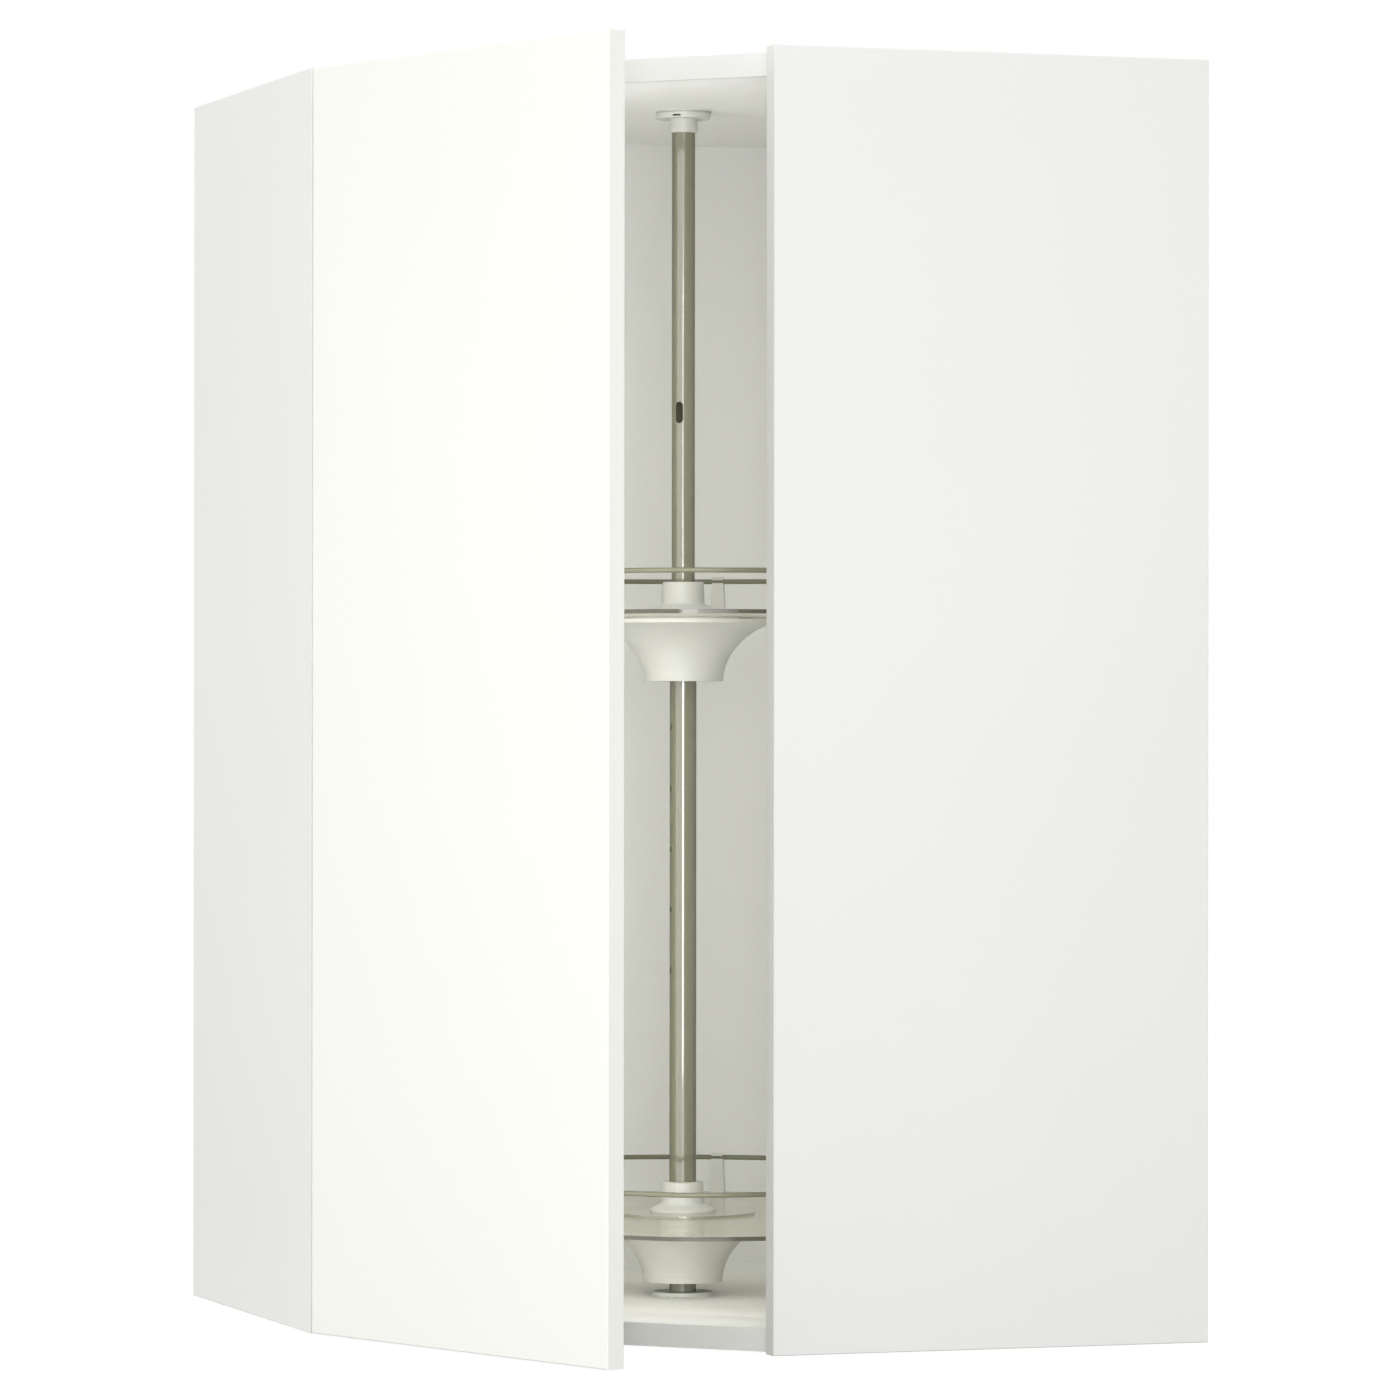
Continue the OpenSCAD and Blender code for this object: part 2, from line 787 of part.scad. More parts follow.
module pole_upper_tube() {
    top = ceiling_z - top_gap;
    color(pole_grey) on_pole() difference() {
        translate([0, 0, upper_tube_bottom]) tube(upper_tube_r, upper_tube_r - tube_wall, top - upper_tube_bottom);
        cross_hole(telescope_hole_z, adjust_hole_r);
        cross_hole(shelf_zs[1] - pin_drop, adjust_hole_r);
        // slot on the side that faces the door opening
        rotate([0, 0, -40]) translate([0, -slot_w / 2, slot_z - slot_h / 2 + slot_w / 2])
            cube([upper_tube_r + cut, slot_w, slot_h - slot_w]);
        for (s = [-1, 1]) {
            rotate([0, 0, -40]) translate([0, 0, slot_z + s * (slot_h - slot_w) / 2])
                rotate([0, 90, 0]) cylinder(r = slot_w / 2, h = upper_tube_r + cut, $fn = 32);
        }
    }
}

module telescope_pin() {
    color(steel) on_pole() intersection() {
        cross_hole(telescope_hole_z, support_pin_r);
        cylinder(r = lower_tube_r - 0.1, h = 2 * cab_h, $fn = 64);
    }
}

module pole_top_plate() {
    color(hub_white) on_pole() difference() {
        union() {
            translate([0, 0, ceiling_z - top_plate_t]) cylinder(r = top_flange_r, h = top_plate_t, $fn = 64);
            translate([0, 0, ceiling_z - top_boss_h]) cylinder(r = top_boss_r, h = top_boss_h, $fn = 64);
        }
        for (a = [30 : 120 : 270]) {
            rotate([0, 0, a]) translate([top_screw_at, 0, ceiling_z - top_plate_t - cut])
                cylinder(r = base_screw_r, h = top_plate_t + 2 * cut, $fn = 24);
        }
    }
}

module pole_top_screws() {
    color(steel) on_pole() for (a = [30 : 120 : 270]) {
        rotate([0, 0, a]) translate([top_screw_at, 0, ceiling_z - top_plate_t]) {
            cylinder(r = base_screw_r, h = top_plate_t + 10, $fn = 24);
            translate([0, 0, -1.8]) cylinder(r = 3.2, h = 1.8, $fn = 32);
        }
    }
}

module pole_top_cap() {
    cap_top = ceiling_z - top_plate_t;
    cap_foot = cap_top - top_flange_t;
    color(hub_white) on_pole() difference() {
        union() {
            translate([0, 0, cap_foot])
                cylinder(r1 = top_flange_r - 0.6, r2 = top_flange_r, h = top_flange_t - cap_step_h, $fn = 64);
            // step that leaves a shadow line under the plate
            translate([0, 0, cap_foot]) cylinder(r = top_flange_r - cap_step, h = top_flange_t, $fn = 64);
            translate([0, 0, cap_foot - top_collar_h + cap_chamfer])
                cylinder(r = top_collar_r, h = top_collar_h - cap_chamfer + 0.5, $fn = 64);
            translate([0, 0, cap_foot - top_collar_h])
                cylinder(r1 = top_collar_r - cap_chamfer, r2 = top_collar_r, h = cap_chamfer, $fn = 64);
        }
        // bore for the upper tube, and the hollow over the screw heads
        translate([0, 0, cap_foot - top_collar_h - cut])
            cylinder(r = upper_tube_r + 0.05, h = top_collar_h + top_flange_t + 2 * cut, $fn = 64);
        translate([0, 0, cap_foot + 1.8]) cylinder(r = top_flange_r - cap_step - 0.8, h = top_flange_t, $fn = 64);
        // slot for a screwdriver
        rotate([0, 0, -34]) translate([top_flange_r - 3, -top_slot_w / 2, cap_foot + 1])
            cube([4, top_slot_w, top_slot_h]);
    }
}

// ---- carousel ----

// Pin through the pole that carries a hub's ring
module support_pin(z) {
    on_pole() translate([0, support_pin_l / 2, z - pin_drop]) rotate([90, 0, 0]) {
        cylinder(r = support_pin_r, h = support_pin_l, $fn = 32);
    }
}

module support_ring(z) {
    on_pole() translate([0, 0, z - pin_drop + support_pin_r])
        tube(ring_r, lower_tube_r + 0.05, ring_t);
}

// Disc with one straight edge; the straight edge faces -y
function corner_x(r, flat, cr) = sqrt(pow(r - cr, 2) - pow(flat - cr, 2));

// Points along an arc, one every arc_step degrees or closer
arc_step = 2.5;
function arc_points(x, y, r, a0, a1) =
    let (n = ceil((a1 - a0) / arc_step))
    [for (i = [0 : n]) [x + r * cos(a0 + (a1 - a0) * i / n), y + r * sin(a0 + (a1 - a0) * i / n)]];

module d_outline(r, flat, cr) {
    cx = corner_x(r, flat, cr);
    cy = flat - cr;
    a = atan2(cx, cy) - 90;
    polygon(concat(
        arc_points(0, 0, r, a, 180 - a),
        [for (p = arc_points(-cx, -cy, cr, 180 - a, 270)) if (p[1] < -cy - cr * sin(-a) - eps) p],
        [for (p = arc_points(cx, -cy, cr, -90, a)) if (p[1] < -cy - cr * sin(-a) - eps) p]));
}

// Turns the straight edge to the door
module facing_door() {
    rotate([0, 0, 45]) children();
}

// Clear shelf: a plate with a raised middle on which the hub's flange lies
module shelf(z) {
    on_pole() facing_door() translate([0, 0, z]) difference() {
        union() {
            translate([0, 0, plate_top - shelf_t]) linear_extrude(shelf_t) d_outline(shelf_r, shelf_flat, shelf_corner_r);
            translate([0, 0, -shelf_t]) cylinder(r1 = boss_r, r2 = boss_r - 0.6, h = shelf_t, $fn = 96);
        }
        translate([0, 0, plate_top - shelf_t - cut])
            cylinder(r = boss_r - boss_wall, h = boss_h + cut, $fn = 96);
        translate([0, 0, -2 * shelf_t]) cylinder(r = hub_hole_r, h = 3 * shelf_t, $fn = 64);
        at_clips() translate([0, 0, -4 * shelf_t]) cylinder(r = peg_r, h = 5 * shelf_t, $fn = 24);
    }
}

// Places of the rail clips, spread from the back of the shelf
module at_clips() {
    for (i = [0 : clip_count - 1]) {
        rotate([0, 0, 90 + (i - (clip_count - 1) / 2) * clip_step]) translate([rail_out_r, 0, 0]) children();
    }
}

// Wire bent to the shelf's outline; a weld bead closes each joint between its arcs
module rail(z) {
    cx = corner_x(rail_out_r, rail_flat, rail_corner_r);
    cy = rail_flat - rail_corner_r;
    corner_angle = atan2(cx, cy);
    out_gap = bead_gap / rail_out_r * 180 / PI;
    in_gap = bead_gap / rail_corner_r * 180 / PI;
    on_pole() facing_door() translate([0, 0, z + rail_h]) {
        rotate([0, 0, corner_angle - 90 + out_gap])
            rotate_extrude(angle = 360 - 2 * (corner_angle + out_gap), $fn = 180)
                translate([rail_out_r, 0]) circle(r = rail_r, $fn = 20);
        for (s = [0, 1]) {
            mirror([s, 0, 0]) {
                translate([cx, -cy, 0]) rotate([0, 0, in_gap - 90])
                    rotate_extrude(angle = corner_angle - 2 * in_gap, $fn = 96)
                        translate([rail_corner_r, 0]) circle(r = rail_r, $fn = 20);
                translate([cx - bead_l / 2, -rail_flat, 0]) rotate([0, 90, 0])
                    cylinder(r = bead_r, h = bead_l, $fn = 24);
                rotate([0, 0, corner_angle - 90]) translate([rail_out_r, bead_l / 2, 0]) rotate([90, 0, 0])
                    cylinder(r = bead_r, h = bead_l, $fn = 24);
            }
        }
        translate([bead_gap - cx, -rail_flat, 0]) rotate([0, 90, 0])
            cylinder(r = rail_r, h = 2 * (cx - bead_gap), $fn = 20);
    }
}

// One clip: a tapered post with a hook that closes over the rail
module rail_clip() {
    wire_z = rail_h + boss_h;
    difference() {
        intersection() {
            translate([-clip_d / 2, 0, 0]) rotate([90, 0, 90]) linear_extrude(clip_d)
                polygon([[-clip_foot_w / 2, 0], [clip_foot_w / 2, 0], [clip_top_w / 2, clip_top],
                    [-clip_top_w / 2, clip_top]]);
            translate([0, clip_foot_w / 2, 0]) rotate([90, 0, 0]) linear_extrude(clip_foot_w)
                polygon([[-clip_d / 2, 0], [clip_d / 2, 0], [clip_d / 2 - 0.8, clip_top - 3],
                    [clip_d / 2 - 3, clip_top], [-clip_d / 2 + 2.4, clip_top], [-clip_d / 2 + 0.8, clip_top - 2]]);
        }
        // seat of the rail, open towards the pole
        translate([0, clip_foot_w, wire_z]) rotate([90, 0, 0]) cylinder(r = rail_r, h = 2 * clip_foot_w, $fn = 32);
        translate([-clip_d, -clip_foot_w, wire_z - 1.2]) cube([clip_d, 2 * clip_foot_w, 2.4]);
        translate([0, 0, -cut]) cylinder(r = clip_screw_r, h = clip_screw_l - shelf_t + cut, $fn = 24);
    }
}

module rail_clips(z) {
    on_pole() facing_door() at_clips() translate([0, 0, z + plate_top]) rail_clip();
}

module clip_screws(z) {
    on_pole() facing_door() at_clips() translate([0, 0, z + plate_top - shelf_t]) {
        cylinder(r = clip_screw_r, h = clip_screw_l - 0.5, $fn = 24);
        translate([0, 0, -clip_head_t]) cylinder(r1 = clip_head_r - 0.8, r2 = clip_head_r, h = clip_head_t, $fn = 32);
    }
}

// Hub collar above the shelf, with a skirt that snaps into the bell
module hub_collar(z) {
    on_pole() translate([0, 0, z]) rotate_extrude($fn = 72)
        polygon([[hub_bore, collar_h - lip_t], [hub_bore, collar_h], [collar_top_r - 0.8, collar_h],
            [collar_top_r, collar_h - 0.8], [collar_foot_r, hub_slope_h + 1.2],
            [collar_foot_r + 0.4, hub_slope_h + 0.3], [collar_foot_r + 1.2, hub_slope_h - 0.3],
            [hub_flange_r - 0.5, hub_flange_t + 0.2], [hub_flange_r, hub_flange_t - 0.4], [hub_flange_r, 0],
            [skirt_out, 0], [skirt_out, -skirt_depth], [skirt_in, -skirt_depth],
            [skirt_in, collar_h - lip_t]]);
}

// Point of the bell's flared wall, a quarter of an ellipse, at a distance inside its outer face
function bell_point(a, inside) =
    let (w = bell_flare_r - bell_mouth_r)
    let (nx = bell_flare_h * cos(a), ny = w * sin(a))
    let (n = sqrt(nx * nx + ny * ny))
    [bell_flare_r - w * cos(a) - inside * nx / n, -bell_depth + bell_flare_h * sin(a) + inside * ny / n];
function bell_curve(inside) =
    let (last = asin((bell_depth + rim_top - bell_rim_t) / bell_flare_h))
    [for (i = [0 : bell_points]) bell_point(last * i / bell_points, inside)];

// Space inside the bell's outer face, at a distance from it, up to a height
module bell_space(inside, top) {
    rotate_extrude($fn = 96) polygon(concat(
        [[0, -bell_depth - cut], [bell_mouth_r - inside, -bell_depth - cut]],
        [for (p = bell_curve(inside)) [p[0], min(p[1], top)]], [[0, top]]));
}

module hub_bell(z) {
    rib_low = -seat_drop + 1.2;
    rib_top = -shelf_t - bell_plate_t + 0.3;
    hollow_top = rim_top - bell_plate_t;
    on_pole() translate([0, 0, z]) {
        difference() {
            union() {
                rotate_extrude($fn = 96) polygon(concat([[0, -bell_depth]], bell_curve(0),
                    [[bell_rim_r, rim_top - bell_rim_t], [bell_rim_r, rim_top], [0, rim_top]]));
                // raised seat that fills the hollow under the shelf's middle
                translate([0, 0, rim_top - 0.5]) cylinder(r = seat_boss_r, h = -shelf_t - rim_top + 0.5, $fn = 96);
            }
            bell_space(bell_wall, hollow_top);
            // hollow inside the seat, then the hole for the collar's skirt
            translate([0, 0, hollow_top - cut])
                cylinder(r = seat_boss_r - bell_wall, h = cut - shelf_t - rim_top, $fn = 96);
            translate([0, 0, hollow_top - cut]) cylinder(r = skirt_out, h = 3 * bell_plate_t, $fn = 72);
        }
        // bearing sleeve round the pole, and the ribs that carry it
        translate([0, 0, -seat_drop]) tube(sleeve_r, hub_bore, seat_drop - shelf_t);
        difference() {
            intersection() {
                union() {
                    bell_space(bell_wall / 2, hollow_top + bell_plate_t / 2);
                    translate([0, 0, hollow_top - cut])
                        cylinder(r = seat_boss_r - bell_wall / 2, h = rib_top - hollow_top + 2 * cut, $fn = 96);
                }
                for (i = [0 : rib_count - 1]) {
                    rotate([0, 0, i * 360 / rib_count]) translate([sleeve_r - 0.5, -rib_t / 2, rib_low])
                        cube([bell_rim_r, rib_t, rib_top - rib_low]);
                }
            }
            translate([0, 0, -skirt_depth - 0.5]) cylinder(r = skirt_out + 0.4, h = skirt_depth, $fn = 72);
        }
    }
}

module support_pin_low() { color(steel) support_pin(shelf_zs[0]); }
module support_pin_high() { color(steel) support_pin(shelf_zs[1]); }
module support_ring_low() { color(hub_white) support_ring(shelf_zs[0]); }
module support_ring_high() { color(hub_white) support_ring(shelf_zs[1]); }
module shelf_low() { color(glass_tint) shelf(shelf_zs[0]); }
module shelf_high() { color(glass_tint) shelf(shelf_zs[1]); }
module hub_collar_low() { color(hub_white) hub_collar(shelf_zs[0]); }
module hub_collar_high() { color(hub_white) hub_collar(shelf_zs[1]); }
module hub_bell_low() { color(hub_white) hub_bell(shelf_zs[0]); }
module hub_bell_high() { color(hub_white) hub_bell(shelf_zs[1]); }
module rail_low() { color(pole_grey) rail(shelf_zs[0]); }
module rail_high() { color(pole_grey) rail(shelf_zs[1]); }
module rail_clips_low() { color(hub_white) rail_clips(shelf_zs[0]); }
module rail_clips_high() { color(hub_white) rail_clips(shelf_zs[1]); }
module clip_screws_low() { color(steel) clip_screws(shelf_zs[0]); }
module clip_screws_high() { color(steel) clip_screws(shelf_zs[1]); }

side_left();
side_right();
top_board();
bottom_board();
back_panel_left();
back_panel_right();
corner_batten();
board_dowels();
cam_bolts();
cam_nuts();
hanger_left();
hanger_right();
hanger_screws();
door_stops();
hinge_plates();
hinge_plate_screws();
hinge_arms();
hinge_pins();
door_panel();
hinge_cups();
hinge_cup_screws();
pole_base();
pole_base_screws();
pole_lower_tube();
pole_upper_tube();
telescope_pin();
pole_top_plate();
pole_top_screws();
pole_top_cap();
support_pin_low();
support_ring_low();
shelf_low();
hub_collar_low();
hub_bell_low();
rail_low();
rail_clips_low();
clip_screws_low();
support_pin_high();
support_ring_high();
shelf_high();
hub_collar_high();
hub_bell_high();
rail_high();
rail_clips_high();
clip_screws_high();
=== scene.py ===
# %% [markdown]
# # A corner wall cabinet with a carousel
# The cabinet stands in the corner of a room, so it has five sides: two against the walls, two
# short sides that meet its neighbours, and a door across the cut-off corner. Inside, two clear
# shelves turn on a pole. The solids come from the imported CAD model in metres, already in place
# and complete down to the screws. This script gives each one its real surface, and then sets the
# camera, the floor and the light.

# %% Load the frame
import json
import math

import bmesh
import bpy
from mathutils import Matrix, Vector


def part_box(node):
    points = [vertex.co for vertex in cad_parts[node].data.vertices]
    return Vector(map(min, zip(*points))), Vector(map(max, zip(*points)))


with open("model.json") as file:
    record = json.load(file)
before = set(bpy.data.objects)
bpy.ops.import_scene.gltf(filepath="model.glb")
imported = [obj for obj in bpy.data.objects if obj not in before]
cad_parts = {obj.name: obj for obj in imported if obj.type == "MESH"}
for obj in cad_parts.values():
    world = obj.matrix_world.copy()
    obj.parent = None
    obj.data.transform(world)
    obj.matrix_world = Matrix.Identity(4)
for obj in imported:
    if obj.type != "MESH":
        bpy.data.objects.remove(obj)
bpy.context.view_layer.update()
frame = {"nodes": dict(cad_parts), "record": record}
nodes = frame["nodes"]
print("CAD nodes:", len(nodes))

# %% [markdown]
# ## Colours
# A colour picker gives sRGB values, but a shader counts in linear light. One function turns a hex
# value into the linear numbers, so every colour below is written as it is seen.

# %% Turn a hex colour to linear light


def linear(hex_value, alpha=1.0):
    parts = [int(hex_value[i : i + 2], 16) / 255 for i in (1, 3, 5)]
    light = (c / 12.92 if c <= 0.04045 else ((c + 0.055) / 1.055) ** 2.4 for c in parts)
    return tuple(light) + (alpha,)


print("mid grey in linear light:", round(linear("#808080")[0], 3))

# %% [markdown]
# ## Adding nodes
# Every material below is a small tree of shader nodes. This helper adds one node, sets its own
# settings and its sockets' values, and links it to the sockets given.

# %% One helper for all material nodes
MM = 0.001
# A Mix node has sockets for each kind of data. These are the ones for colours.
MIX_A, MIX_B, MIX_RESULT = 6, 7, 2


def add(tree, kind, settings=None, values=None, links=None):
    node = tree.nodes.new(kind)
    for key, value in (settings or {}).items():
        setattr(node, key, value)
    for key, value in (values or {}).items():
        node.inputs[key].default_value = value
    for key, source in (links or {}).items():
        tree.links.new(source, node.inputs[key])
    return node


def new_material(name):
    material = bpy.data.materials.new(name)
    material.use_nodes = True
    material.node_tree.nodes.clear()
    return material, material.node_tree


print("helpers:", add.__name__, new_material.__name__)

# %% [markdown]
# ## Melamine foil on particleboard
# The carcass boards are particleboard with a white melamine foil pressed on. The press plate
# leaves a fine pearl grain about 0.6 mm across, which is drawn at 2 mm so that it shows. It gives
# a soft sheen that never turns to a mirror. A slow cloud of a shade or two keeps the white from
# looking like paper. An image of foil could be laid on each board, but it would need a UV map
# and would repeat. Noise on Object coordinates needs no map, never repeats, and keeps its size
# in millimetres on every board. The door's foil is smoother, and the back is lacquered
# hardboard, a little greyer and rougher, so one function makes all three.

# %% Make the boards' foil
FOIL_CLOUD_MM = 333
ROUGH_SWING = 0.05


def foil(name, light, dark, roughness, grain_mm, bump_mm):
    material, tree = new_material(name)
    place = add(tree, "ShaderNodeTexCoord").outputs["Object"]
    cloud = add(
        tree,
        "ShaderNodeTexNoise",
        values={"Scale": 1 / (FOIL_CLOUD_MM * MM), "Detail": 2.0},
        links={"Vector": place},
    )
    tone = add(
        tree,
        "ShaderNodeMix",
        {"data_type": "RGBA"},
        values={MIX_A: linear(dark), MIX_B: linear(light)},
        links={"Factor": cloud.outputs["Fac"]},
    )
    grain = add(
        tree,
        "ShaderNodeTexNoise",
        values={"Scale": 1 / (grain_mm * MM), "Detail": 3.0},
        links={"Vector": place},
    )
    rough = add(
        tree,
        "ShaderNodeMapRange",
        values={"To Min": roughness - ROUGH_SWING, "To Max": roughness + ROUGH_SWING},
        links={"Value": grain.outputs["Fac"]},
    )
    bump = add(
        tree,
        "ShaderNodeBump",
        values={"Strength": 0.35, "Distance": bump_mm * MM},
        links={"Height": grain.outputs["Fac"]},
    )
    skin = add(
        tree,
        "ShaderNodeBsdfPrincipled",
        values={"IOR": 1.5},
        links={
            "Base Color": tone.outputs[MIX_RESULT],
            "Roughness": rough.outputs[0],
            "Normal": bump.outputs[0],
        },
    )
    add(tree, "ShaderNodeOutputMaterial", links={"Surface": skin.outputs[0]})
    return material


melamine = foil("white melamine foil", "#F5F5F2", "#F1F1EE", 0.45, 2.0, 0.06)
door_foil = foil("white door foil", "#F8F9F3", "#F5F6F0", 0.34, 2.6, 0.03)
hardboard = foil("lacquered hardboard", "#F0F0ED", "#EBEBE8", 0.5, 1.6, 0.08)
print("foils:", melamine.name, door_foil.name, hardboard.name)

# %% [markdown]
# ## Powder-coated steel
# The pole and the rails are steel tube and wire with an olive-grey powder coat. Powder melts into
# a smooth skin with a faint orange peel, a few millimetres from crest to crest, and a clear gloss
# on top, so a lamp shows in it as one bright line down the tube. The coat on the thin rails has
# less of that gloss. The peel could be moved for real with displacement, but it is only
# hundredths of a millimetre high, so a bump is enough. The gloss is the shader's own coat layer.
# Both limbs of a tube, where it is seen edge-on, get a darker tone, which is painted shade. Layer
# Weight finds the limbs from any side, takes the gloss off them and mixes the darker tone in. A
# baked model can't hold a tone that changes with the angle, so it shows the lighter one.

# %% Make the powder coat
PEEL_MM = 2.38
LIMB_START, LIMB_END = 0.25, 0.85


def powder_coat(name, hex_value, painted_limb_shade_hex, gloss_share):
    material, tree = new_material(name)
    place = add(tree, "ShaderNodeTexCoord").outputs["Object"]
    peel = add(
        tree,
        "ShaderNodeTexNoise",
        values={"Scale": 1 / (PEEL_MM * MM), "Detail": 1.0},
        links={"Vector": place},
    )
    bump = add(
        tree,
        "ShaderNodeBump",
        values={"Strength": 0.25, "Distance": 0.02 * MM},
        links={"Height": peel.outputs["Fac"]},
    )
    turned = add(tree, "ShaderNodeLayerWeight", values={"Blend": 0.5})
    # Painted shade: the darker tone goes on the limbs.
    painted_limb_shade = add(
        tree,
        "ShaderNodeMapRange",
        values={"From Min": LIMB_START, "From Max": LIMB_END},
        links={"Value": turned.outputs["Facing"]},
    )
    gloss = add(
        tree,
        "ShaderNodeMapRange",
        values={
            "From Min": LIMB_START,
            "From Max": LIMB_END,
            "To Min": gloss_share,
            "To Max": 0.0,
        },
        links={"Value": turned.outputs["Facing"]},
    )
    tone = add(
        tree,
        "ShaderNodeMix",
        {"data_type": "RGBA"},
        values={MIX_A: linear(hex_value), MIX_B: linear(painted_limb_shade_hex)},
        links={"Factor": painted_limb_shade.outputs[0]},
    )
    skin = add(
        tree,
        "ShaderNodeBsdfPrincipled",
        values={"Roughness": 0.32, "IOR": 1.3, "Coat Roughness": 0.05, "Coat IOR": 2.0},
        links={
            "Base Color": tone.outputs[MIX_RESULT],
            "Coat Weight": gloss.outputs[0],
            "Normal": bump.outputs[0],
        },
    )
    add(tree, "ShaderNodeOutputMaterial", links={"Surface": skin.outputs[0]})
    return material


# The second colour of each coat is painted shade along the limbs.
powder = powder_coat("olive grey powder coat", "#777761", "#595946", 1.0)
rail_powder = powder_coat("olive grey rail coat", "#777763", "#47473B", 0.15)
print("powder coats:", powder.name, rail_powder.name)

# %% [markdown]
# ## Moulded plastic
# Hubs, clips and pole fittings are warm white nylon. The steel mould is spark-eroded, which gives
# the plastic a fine matt skin with pits about a millimetre apart, and the melt leaves slow cloudy
# streaks. Light also enters real nylon a little, which subsurface scattering could show. These
# pieces are pale and small in the picture, so a plain matt shader is enough and renders faster.
# The door stops are grey rubber from the same kind of mould.

# %% Make the moulded plastic
STREAK_MM = 71.4
PIT_MM = 1.11


def moulded(name, light, dark, roughness):
    material, tree = new_material(name)
    place = add(tree, "ShaderNodeTexCoord").outputs["Object"]
    streak = add(
        tree,
        "ShaderNodeTexNoise",
        values={"Scale": 1 / (STREAK_MM * MM), "Detail": 2.0},
        links={"Vector": place},
    )
    tone = add(
        tree,
        "ShaderNodeMix",
        {"data_type": "RGBA"},
        values={MIX_A: linear(dark), MIX_B: linear(light)},
        links={"Factor": streak.outputs["Fac"]},
    )
    pits = add(
        tree,
        "ShaderNodeTexNoise",
        values={"Scale": 1 / (PIT_MM * MM), "Detail": 1.0},
        links={"Vector": place},
    )
    bump = add(
        tree,
        "ShaderNodeBump",
        values={"Strength": 0.3, "Distance": 0.04 * MM},
        links={"Height": pits.outputs["Fac"]},
    )
    skin = add(
        tree,
        "ShaderNodeBsdfPrincipled",
        values={"Roughness": roughness, "IOR": 1.53},
        links={"Base Color": tone.outputs[MIX_RESULT], "Normal": bump.outputs[0]},
    )
    add(tree, "ShaderNodeOutputMaterial", links={"Surface": skin.outputs[0]})
    return material


nylon = moulded("warm white nylon", "#CFCFC8", "#C9C9C2", 0.42)
stop_rubber = moulded("grey stop rubber", "#A3A39F", "#9A9A96", 0.7)
print("moulded:", nylon.name, stop_rubber.name)

# %% [markdown]
# ## The edge of a clear shelf
# Seen from its edge a clear sheet looks darker, because the eye looks along it. The outer edge
# therefore gets a dark tint of its own, which is painted shade: it stands in for that darker look
# and damps the light that the inner lamp throws on the edge. A second material slot could hold it,
# but the CAD mesh comes with one slot, so the shader finds the edge itself. It is the part of a
# shelf that faces sideways and lies far from the pole. The step round the raised middle faces
# sideways too, but it keeps the tint of the sheet.

# %% Tell a shelf's sheet from its outer edge
pole_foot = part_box("pole_base")
POLE_PLACE = (Vector(pole_foot[0]) + Vector(pole_foot[1])) / 2
MIDDLE_REACH = 0.15


def sheet_share(tree, place):
    normal = add(tree, "ShaderNodeNewGeometry").outputs["Normal"]
    facing = add(tree, "ShaderNodeSeparateXYZ", links={0: normal})
    flat = add(
        tree,
        "ShaderNodeMath",
        {"operation": "ABSOLUTE"},
        links={0: facing.outputs["Z"]},
    )
    spoke = add(
        tree,
        "ShaderNodeMapping",
        values={"Location": (-POLE_PLACE.x, -POLE_PLACE.y, 0.0), "Scale": (1.0, 1.0, 0.0)},
        links={"Vector": place},
    )
    reach = add(
        tree,
        "ShaderNodeVectorMath",
        {"operation": "LENGTH"},
        links={0: spoke.outputs[0]},
    )
    middle = add(
        tree,
        "ShaderNodeMath",
        {"operation": "LESS_THAN"},
        values={1: MIDDLE_REACH},
        links={0: reach.outputs["Value"]},
    )
    either = add(
        tree,
        "ShaderNodeMath",
        {"operation": "MAXIMUM"},
        links={0: flat.outputs[0], 1: middle.outputs[0]},
    )
    return either.outputs[0]


print("pole at:", [round(c, 3) for c in POLE_PLACE])

# %% [markdown]
# ## Clear styrene shelves
# The shelves are cut from clear styrene, IOR 1.57, with a faint greenish-beige tint. The plastic
# is a little cloudy, so some of the light is scattered in it. A glass shader alone would look
# right from the front, but it casts a dark shadow, as if the sheet were solid. So shadow rays
# and scattered light go through a tinted Transparent shader, while the eye sees the glassy one,
# and what lies behind a shelf stays bright.

# %% Make the clear plastic
HAZE_MM = 33.3
HAZE_SMOOTH, HAZE_ROUGH = 0.12, 0.2


